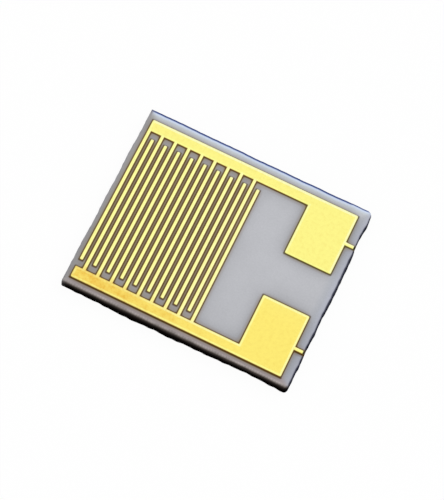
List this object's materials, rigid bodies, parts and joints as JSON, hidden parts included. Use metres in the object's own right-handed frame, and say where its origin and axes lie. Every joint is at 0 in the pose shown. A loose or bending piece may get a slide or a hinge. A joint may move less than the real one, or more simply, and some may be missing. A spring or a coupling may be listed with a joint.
{
  "type": "ceramic humidity sensor chip",
  "caption": "Small flat ceramic plate with two interleaved gold comb electrodes on one face and a gold contact pad for each comb at one end.",
  "frame": {"origin": "middle of the underside, which is the middle of the bottom of the bounding box", "axes": "+X along the plate towards the contact pads, +Y across the plate towards the upper comb's bus, +Z out of the printed face"},
  "size_m": [0.01, 0.0082, 0.0006],
  "materials": {
    "alumina": "matt, as fired, with dark scribed and snapped sides",
    "gold_film": "satin fired gold"
  },
  "bodies": {
    "root": {"ceramic_substrate": "alumina", "upper_comb_electrode": "gold_film", "lower_comb_electrode": "gold_film"}
  },
  "joints": []
}
